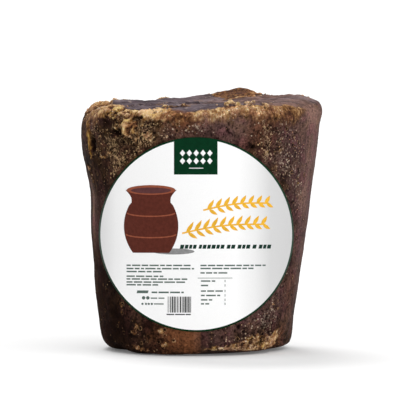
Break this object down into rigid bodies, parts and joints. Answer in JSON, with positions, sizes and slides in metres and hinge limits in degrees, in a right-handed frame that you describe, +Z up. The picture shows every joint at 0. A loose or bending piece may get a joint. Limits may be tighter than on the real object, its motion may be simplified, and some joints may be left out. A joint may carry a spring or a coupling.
{
  "type": "jaggery block",
  "caption": "Bucket-cast block of dark raw cane sugar, wider at the top, with a crusted rim, wrinkled top and round paper label.",
  "frame": {"origin": "middle of the flat foot, under the middle of the block's box", "axes": "+Z up through the block, from the foot to the wider top; -Y out of the front, through the middle of the label; +X to the right as seen from the front"},
  "size_m": [0.1038, 0.1042, 0.1108],
  "materials": {
    "sugar": "dark purple-brown set sugar with fine pores, a golden crystal crust at the rim and a slate-coloured skin on top",
    "label_paper": "smooth white coated paper with a thin dark green edge"
  },
  "bodies": {
    "root": {"jaggery_block": "sugar", "label": "label_paper"}
  },
  "joints": []
}
